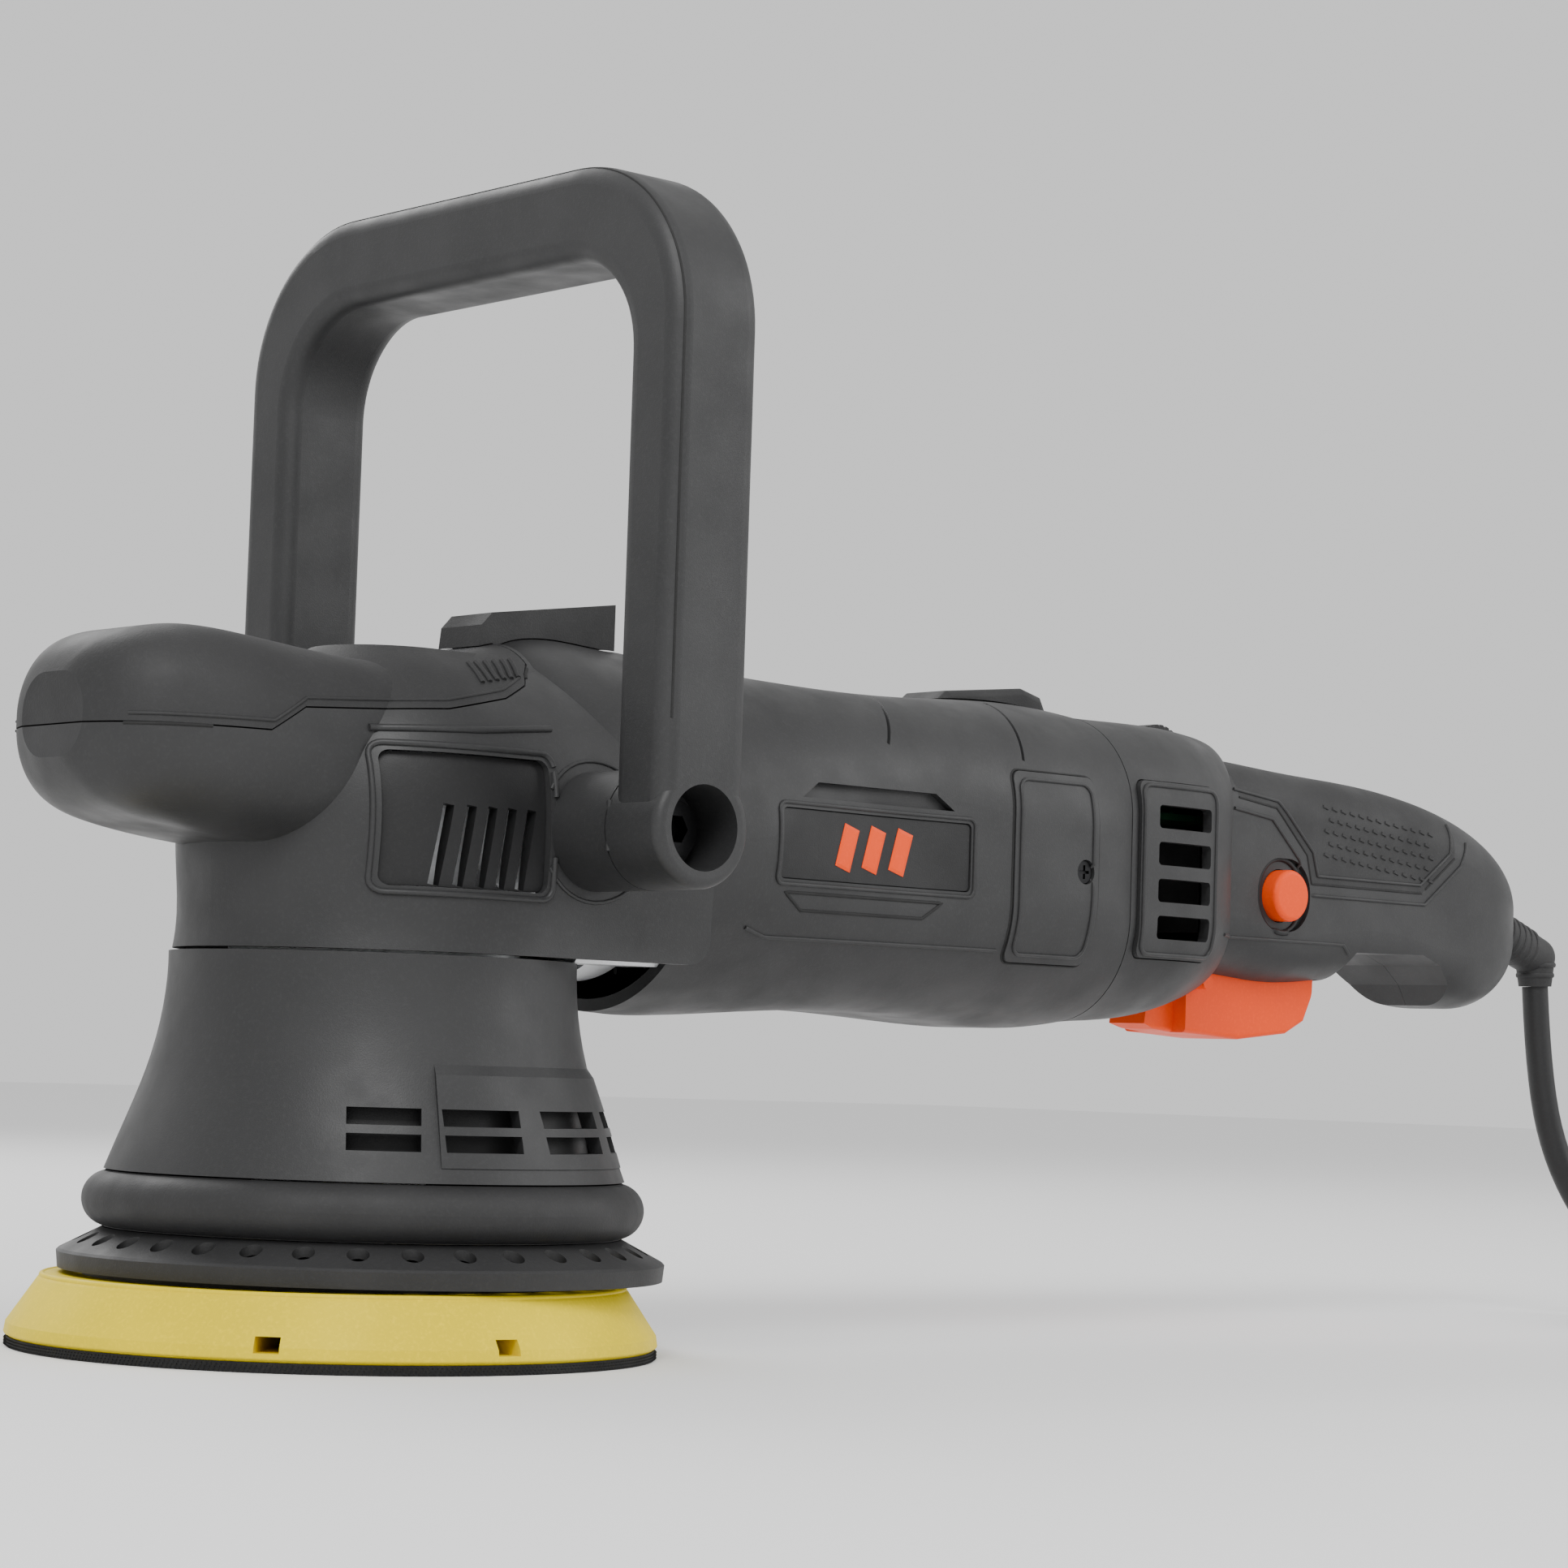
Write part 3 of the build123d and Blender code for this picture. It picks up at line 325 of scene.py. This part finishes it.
def side_lines(name, nodes, shapes, radius, look, lift=0.0, sides=(-1, 1), closed=False):
    """Beads that follow the sides of the named pieces along shapes drawn in x and z."""
    runs = []
    for side in sides:
        for shape in shapes:
            hits = [on_side(nodes, side, x, z, lift) for x, z in fine_steps(shape, closed=closed)]
            parts = unbroken([hit[0] if hit else None for hit in hits])
            runs += [(part, closed and len(part) == len(hits)) for part in parts]
    return tubes(name, runs, radius, look)


def put_mesh(name, mesh, look, body, smooth=True):
    data = bpy.data.meshes.new(name)
    mesh.to_mesh(data)
    mesh.free()
    if smooth:
        data.shade_smooth()
        data.set_sharp_from_angle(angle=math.radians(35))
    return place_piece(bpy.data.objects.new(name, data), look, body)


def facing(place, normal, along=UP):
    """A frame at place with Z on normal and X near along."""
    across = normal.cross(along).normalized()
    return Matrix.Translation(place) @ Matrix((across.cross(normal), across, normal)).transposed().to_4x4()


def add_turned(mesh, profile, frame_matrix, steps=32):
    """Revolve (radius, height) pairs in mm about the frame's Z."""
    rings = []
    for radius, height in profile:
        ring = []
        for k in range(steps):
            angle = 2 * math.pi * k / steps
            local = Vector((radius * math.cos(angle), radius * math.sin(angle), height)) * MM
            ring.append(mesh.verts.new(frame_matrix @ local))
        rings.append(ring)
    for low, high in zip(rings, rings[1:]):
        for k in range(steps):
            mesh.faces.new((low[k], low[(k + 1) % steps], high[(k + 1) % steps], high[k]))
    mesh.faces.new(list(reversed(rings[0])))
    mesh.faces.new(rings[-1])


def add_box(mesh, frame_matrix, length, width, height):
    """A small box with bevelled top, sizes in mm, centred on the frame."""
    corners = []
    for level, shrink in ((-height, 0.0), (height * 0.4, 0.0), (height, 0.3 * min(length, width))):
        ring = []
        for sx, sy in ((1, 1), (-1, 1), (-1, -1), (1, -1)):
            local = Vector((sx * (length - shrink) / 2, sy * (width - shrink) / 2, level)) * MM
            ring.append(mesh.verts.new(frame_matrix @ local))
        corners.append(ring)
    for low, high in zip(corners, corners[1:]):
        for k in range(4):
            mesh.faces.new((low[k], low[(k + 1) % 4], high[(k + 1) % 4], high[k]))
    mesh.faces.new(list(reversed(corners[0])))
    mesh.faces.new(corners[-1])


# ---- cord, coil and plug -------------------------------------------------------------------
CORD_D = 8.0
COIL = (476.0, -84.0)
COIL_TURNS = 7
TURNS_ON_FLOOR = 3
POINTS_PER_TURN = 14
COIL_OUTER_R = 56
COIL_INNER_R = 32.0
CORD_TAIL = [(-26, 57.5, 12.8), (-50, 52, 14.5)]
ROUTE = [(449.0, 0.0, 101.0), (450.2, -0.8, 75.5), (454.5, -4.5, 48.5), (466.0, -12.0, 25.5),
         (483.5, -20.5, 11.5), (504.0, -31.5, 5.6), (524.0, -55.0, 4.4)]


def from_coil(angle, radius, z):
    return COIL[0] + radius * math.cos(angle), COIL[1] + radius * math.sin(angle), z


def coil_points():
    """Turns inwards on the floor, a climbing turn, then turns outwards on top of them."""
    first_above = TURNS_ON_FLOOR + 1
    points = []
    for k in range(COIL_TURNS * POINTS_PER_TURN + 1):
        t = k / POINTS_PER_TURN
        if t <= TURNS_ON_FLOOR:
            radius, z = COIL_OUTER_R - CORD_D * t, CORD_D / 2
        elif t <= first_above:
            radius, z = COIL_INNER_R, CORD_D / 2 + CORD_D * math.sqrt(1 - (first_above - t) ** 2)
        else:
            radius, z = COIL_INNER_R + CORD_D * (t - first_above), CORD_D * 1.5
        points.append(from_coil(-2 * math.pi * t, radius, z))
    return points


def add_cord():
    """The mains cord: its drop to the floor, the coil and the tail that rises to the plug."""
    points = ROUTE + coil_points()
    points += [from_coil(math.radians(angle), radius, z) for angle, radius, z in CORD_TAIL]
    points.append((COIL[0] + 34, COIL[1] - 39, 19.5))
    data = bpy.data.curves.new("mains_cord", "CURVE")
    data.dimensions = "3D"
    data.bevel_depth = CORD_D / 2 * MM
    data.bevel_resolution = 5
    data.resolution_u = 6
    data.use_fill_caps = True
    spline = data.splines.new("NURBS")
    spline.points.add(len(points) - 1)
    for slot, (x, y, z) in zip(spline.points, points):
        slot.co = (x * MM, y * MM, z * MM, 1)
    spline.order_u = 3
    spline.use_endpoint_u = True
    cord = place_piece(bpy.data.objects.new("mains_cord", data), "cord_jacket", "housing")
    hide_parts("power_cord", "cord_coil")


add_cord()

# ---- detail on the surfaces ----------------------------------------------------------------
BAIL_X, BAIL_Z = 35.5, 121.4
SPINDLE_X = 7.5
LOCK_X, LOCK_Z = 303, 121
HOOK_ROWS, HOOKS_PER_ROW = 3, 420
HOOK_EDGE_R, HOOK_HALF = 74.2, 0.22
HEAD = ("head_cover", "palm_grip", "palm_insert")
BARREL = ("motor_housing", "left_brush_door", "right_brush_door")
GRIP = ("left_handle_shell", "right_handle_shell", "left_grip", "right_grip", "left_vent_cover",
        "right_vent_cover")


def head_detail():
    """Borders round the louvres, the seam and ribs of the palm grip, and rings round the bail's bosses."""
    cover = ("head_cover",)
    border = round_box(-21.6, 23.0, 104.8, 138.4, 3.0)
    side_lines("louvre_borders", cover, [border], 0.75, "black_plastic", 0.1, closed=True)
    ledge = [(-21, 141.6), (4, 142.6), (25, 144.6)]
    side_lines("louvre_ledges", cover, [ledge], 0.9, "black_plastic", 0.0)
    seam = [(-78, 138.5), (-47, 138.9), (-38, 144.7), (-2, 147.1), (16, 151.1), (25, 155.1), (30.6, 160)]
    side_lines("palm_seams", HEAD, [seam], 0.42, "groove", -0.12)
    seam = [(x + 0.6, z + 2.2) for x, z in seam[:-1]]
    side_lines("palm_seam_lips", HEAD, [seam], 0.4, "soft_rubber", 0.0)
    ribs = [[(12 + 2.6 * k, 154.6 + 0.5 * k), (13.6 + 2.6 * k, 159.8 + 0.4 * k)] for k in range(6)]
    side_lines("palm_ribs", HEAD, ribs, 0.6, "soft_rubber", 0.1)
    reach = 16.4
    ring = round_box(BAIL_X - reach, BAIL_X + reach, BAIL_Z - reach, BAIL_Z + reach, 16.3, 10)
    side_lines("boss_rings", cover, [ring], 0.5, "black_plastic", 0.0, closed=True)


def barrel_detail():
    """Borders of the brush doors and label plates, and three plain bars on each plate."""
    border = round_box(178.9, 204.8, 99.4, 144.4, 3.0)
    side_lines("door_borders", BARREL, [border], 0.5, "black_plastic", 0.1, closed=True)
    border = round_box(176.5, 207.2, 97.0, 146.8, 3.0)
    side_lines("door_gaps", BARREL, [border], 0.34, "groove", -0.1, closed=True)
    border = round_box(95.4, 163.6, 113.0, 132.8, 2.0)
    side_lines("label_borders", BARREL, [border], 0.5, "black_plastic", 0.05, closed=True)
    shallow = [(99, 111), (105.5, 106.8), (146.5, 106.8), (153, 111)]
    side_lines("label_flashes", BARREL, [shallow], 0.45, "groove", -0.1, closed=True)
    side_lines("side_creases", BARREL, [[(90, 102), (97, 100), (174, 100)]], 0.55, "black_plastic", 0.0)
    for side in (-1, 1):
        mesh = bmesh.new()
        for k in range(3):
            hit = on_side(("label_plates",) + BARREL, side, 119.5 + 9.5 * k, 122.9)
            spot = facing(hit[0], hit[1], Vector((-0.3 * side, 0, 1)).normalized())
            add_box(mesh, spot, 11.0, 5.4, 0.35)
        put_mesh("label_bars", mesh, "orange_plastic", "housing", smooth=False)


def grip_detail():
    """Borders and raised marks of the textured grips, and frames round the vents, lock and trigger."""
    outer = [(281.5, 144.2), (297.6, 142.2), (310.0, 131.4), (312.6, 121.8), (367.4, 121.8), (384.0, 134.0),
             (388, 141)]
    inner = [(282.5, 149.6), (300.6, 147.4), (316, 134.0), (318.2, 127.4), (365.2, 127.4), (379.0, 137.4),
             (381, 146)]
    side_lines("grip_borders", GRIP, [outer, inner], 0.5, "black_plastic", 0.05)
    zone = [(284, 147.4), (299.5, 145.4), (313.4, 133), (315.6, 125), (366, 125), (381, 136)]
    side_lines("grip_edges", GRIP, [zone], 0.36, "groove", -0.08)
    border = round_box(226.2, 257.4, 101.6, 146.4, 3.0)
    side_lines("vent_borders", GRIP, [border], 0.6, "black_plastic", 0.1, closed=True)
    border = round_box(LOCK_X - 9.4, LOCK_X + 9.4, LOCK_Z - 10.4, LOCK_Z + 10.4, 9.2, 8)
    side_lines("lock_surround", GRIP, [border], 0.8, "dark_plastic", 0.0, sides=(-1,), closed=True)
    side_lines("trigger_guards", GRIP, [[(268, 108.5), (331, 108.5), (335, 106)]], 0.5, "black_plastic", 0.0)
    for side in (-1, 1):
        mesh = bmesh.new()
        for row in range(5):
            for k in range(15):
                x = 322 + 4.0 * k + 2.0 * (row % 2)
                z = 133.5 + 3.4 * row - 0.10 * (x - 322)
                hit = on_side(GRIP, side, x, z)
                if hit and x < 372:
                    add_box(mesh, facing(hit[0], hit[1], Vector((0.3, 0, 1)).normalized()), 0.9, 2.1, 0.38)
        put_mesh("grip_marks", mesh, "soft_rubber", "housing", smooth=False)


def add_rib_ring(mesh, place, ahead, r, half):
    """A rounded ring of radius r round the line ahead, half its width to each side."""
    profile = [(r - 1.2, -half), (r - 0.2, 0.1 - half), (r, 0.5 - half), (r, half - 0.5),
               (r - 0.2, half - 0.1), (r - 1.2, half)]
    add_turned(mesh, profile, facing(place * MM, ahead.normalized(), Vector((0, 1, 0))), 28)


def relief_detail():
    """Rib rings round the strain relief, along its slanted part and its drop."""
    mesh = bmesh.new()
    start, bend, end = Vector((426, 0, 117.8)), Vector((448.7, 0, 110.4)), Vector((449.0, 0, 102.5))
    for k in range(6):
        t = 0.06 + 0.13 * k
        add_rib_ring(mesh, start.lerp(bend, t), bend - start, 7.05 - 0.6 * t, 0.9)
    for k in range(2):
        add_rib_ring(mesh, bend.lerp(end, 0.35 + 0.4 * k), end - bend, 6.35 - 0.5 * k, 0.8)
    put_mesh("relief_ribs", mesh, "soft_rubber", "housing")


def hub_detail():
    """Pan-head screws that hold the hub plate to the foam core."""
    mesh = bmesh.new()
    circle_r = 48
    for k in range(6):
        angle = math.radians(14 + 60 * k)
        hit = on_top(("hub_plate",), circle_r * math.cos(angle), circle_r * math.sin(angle))
        spot = facing(hit[0], hit[1], Vector((math.cos(angle), math.sin(angle), 0)))
        add_turned(mesh, [(3.4, -0.3), (3.4, 0.7), (2.9, 1.4), (1.7, 1.8), (1.5, 1.0), (0.2, 0.8)], spot, 24)
    put_mesh("hub_screws", mesh, "steel", "pad")


def bail_detail():
    """The mould line along the bail's front outer edge, over the top and down its legs."""
    centre = Vector((BAIL_X - 10.3, 0, 190)) * MM
    steps, half_sweep = 160, 118
    points = []
    for k in range(steps + 1):
        angle = math.radians(-half_sweep + 2 * half_sweep * k / steps)
        out = Vector((0, math.sin(angle), math.cos(angle)))
        hit = touch(("bail_handle",), centre + out * 0.3, -out, -0.12)
        points.append(hit[0] if hit else None)
    tubes("bail_parting", [(part, False) for part in unbroken(points, 9)], 0.34, "groove")


def circle(middle_x, radius, z, steps):
    """Points round an upright axis in the tool's middle plane."""
    angles = [2 * math.pi * k / steps for k in range(steps)]
    return [Vector((middle_x + radius * math.cos(a), radius * math.sin(a), z)) * MM for a in angles]


def shroud_painted_shade():
    """A dark ring behind the shroud's vent slots: painted shade that makes the slots read dark."""
    mesh = bmesh.new()
    steps = 120
    rings = []
    # painted shade: a dark sheet in the darkest plastic, standing in for the shadow inside the vent slots
    for radius, z in ((52.2, 44.5), (50.4, 53.0), (48.6, 61.0), (48.0, 61.0), (49.8, 53.0), (51.6, 44.5)):
        rings.append([mesh.verts.new(place) for place in circle(SPINDLE_X, radius, z, steps)])
    for low, high in zip(rings, rings[1:] + rings[:1]):
        for k in range(steps):
            mesh.faces.new((low[k], low[(k + 1) % steps], high[(k + 1) % steps], high[k]))
    put_mesh("shroud_painted_shade", mesh, "dark_plastic", "housing")


def pad_detail():
    """Beads round the pad's two edges, and the hooks that show along the rim of the hook face."""
    tubes("pad_rim", [(circle(0.0, 66.9, 16.1, 180), True)], 0.75, "yellow_pad", "pad")
    tubes("pad_foot", [(circle(0.0, 74.5, 3.3, 180), True)], 0.55, "yellow_pad", "pad")
    mesh = bmesh.new()
    for row in range(HOOK_ROWS):
        for k in range(HOOKS_PER_ROW):
            angle = 2 * math.pi * (k + row / HOOK_ROWS) / HOOKS_PER_ROW
            out = Vector((math.cos(angle), math.sin(angle), 0))
            across = Vector((-out.y, out.x, 0))
            base = out * HOOK_EDGE_R + UP * (0.45 + 0.65 * row)
            arms = (across, UP, -across, DOWN)
            ring = [mesh.verts.new((base + arm * HOOK_HALF) * MM) for arm in arms]
            tip = mesh.verts.new((base + out * 0.85 + across * 0.25) * MM)
            for a, b in zip(ring, ring[1:] + ring[:1]):
                mesh.faces.new((a, b, tip))
            mesh.faces.new(list(reversed(ring)))
    put_mesh("hook_pile", mesh, "hook_fabric", "pad", smooth=False)


def top_detail():
    """The seam over the handle and the rising marks beside the speed dial."""
    seam = [on_top(GRIP, 224 + 1.5 * k, 0, -0.12) for k in range(128)]
    parts = unbroken([hit[0] if hit else None for hit in seam])
    tubes("handle_seam", [(part, False) for part in parts], 0.32, "groove")
    mesh = bmesh.new()
    for k in range(6):
        hit = on_top(GRIP, 262 + 4 * k, 8.2)
        add_box(mesh, facing(hit[0], hit[1], Vector((0, 1, 0))), 1.4 + 0.5 * k, 0.8, 0.3)
    put_mesh("dial_marks", mesh, "gloss_insert", "housing", smooth=False)


def plug_detail():
    """Finger ribs along both sides of the plug."""
    mesh = bmesh.new()
    for side in (-1, 1):
        for k in range(6):
            start = Vector((458 + 3.4 * k, -126 + side * 40, 25.2)) * MM
            hit = touch(("plug_body",), start, Vector((0, -side, 0)))
            if hit:
                add_box(mesh, facing(*hit), 10.5, 1.3, 0.4)
    put_mesh("plug_ribs", mesh, "cord_jacket", "housing", smooth=False)


head_detail()
bail_detail()
shroud_painted_shade()
pad_detail()
top_detail()
plug_detail()
barrel_detail()
grip_detail()
relief_detail()
hub_detail()
